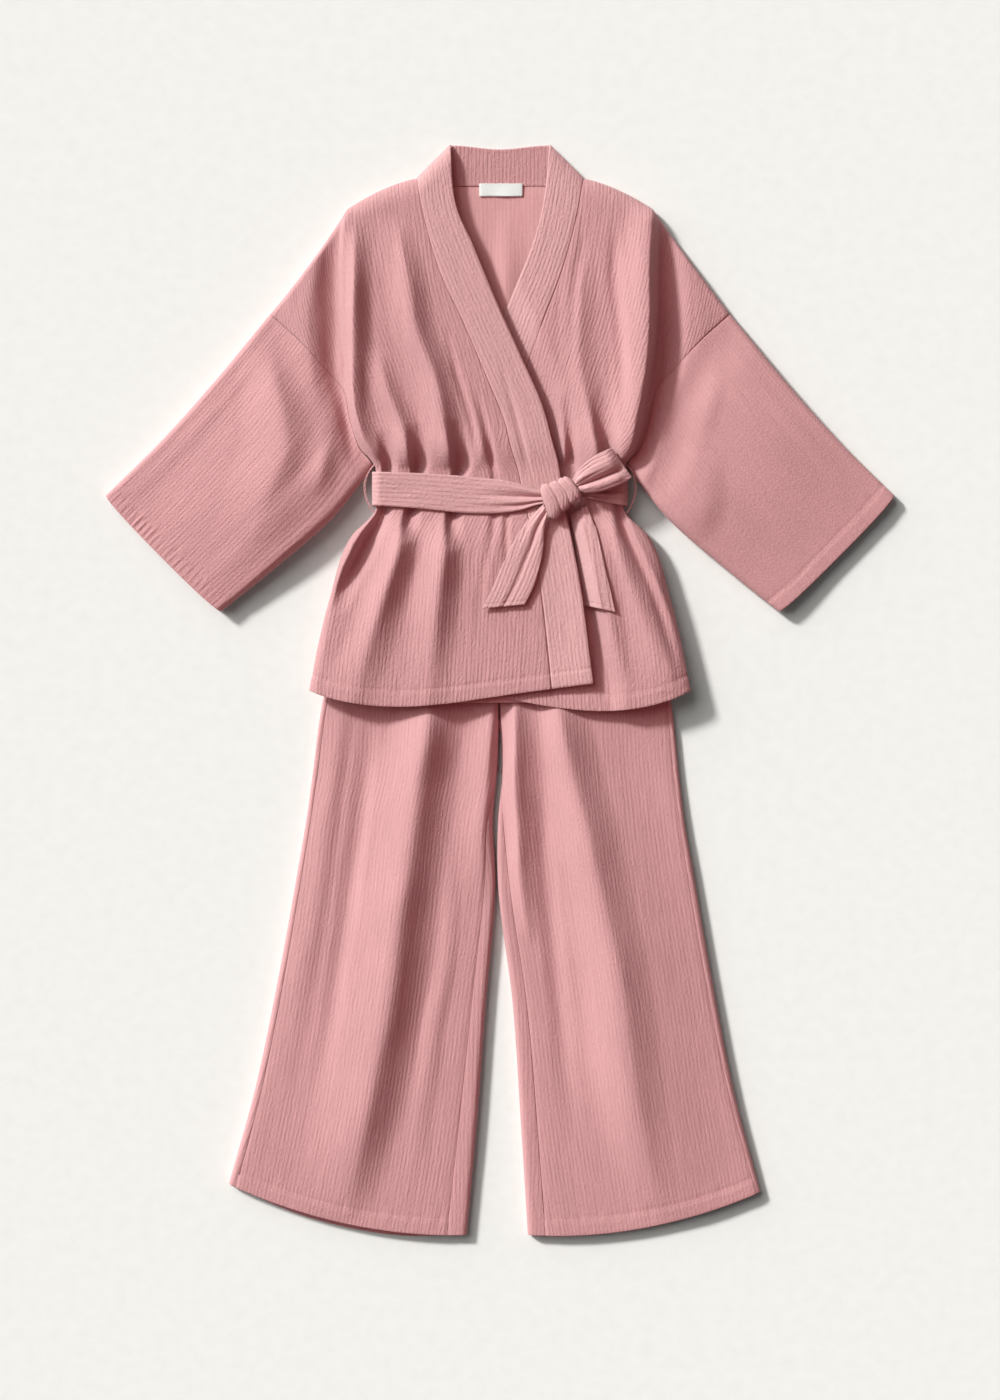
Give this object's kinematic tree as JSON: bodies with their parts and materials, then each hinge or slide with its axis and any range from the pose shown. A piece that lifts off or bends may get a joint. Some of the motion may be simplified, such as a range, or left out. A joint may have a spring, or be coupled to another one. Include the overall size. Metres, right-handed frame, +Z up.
{
  "type": "kimono pajama set",
  "caption": "Crinkled gauze wrap top with wide sleeves and a tie belt in a half bow, laid flat over matching wide-leg trousers.",
  "frame": {"origin": "middle of the set's bounding box, on the surface that it lies on", "axes": "+X to the right seen from above, which is the wearer's left, +Y from the trouser hems to the collar, +Z up off the surface"},
  "size_m": [1.022, 1.4183, 0.0452],
  "materials": {
    "gauze": "matte crinkled double gauze, dusty pink",
    "thread": "matte twisted sewing thread, dusty pink",
    "label": "smooth woven tape, plain white"
  },
  "bodies": {
    "root": {"top_back": "gauze", "top_front_right": "gauze", "top_front_left": "gauze", "sleeve_right": "gauze", "sleeve_left": "gauze", "collar_neck": "gauze", "collar_band_right": "gauze", "collar_band_left": "gauze", "belt_band": "gauze", "belt_knot": "gauze", "belt_bow_loop": "gauze", "belt_tail_long": "gauze", "belt_tail_short": "gauze", "trousers_front_right": "gauze", "trousers_front_left": "gauze", "trousers_back_right": "gauze", "trousers_back_left": "gauze", "trousers_waistband": "gauze", "belt_loop_right": "thread", "belt_loop_left": "thread", "neck_label": "label"}
  },
  "joints": []
}
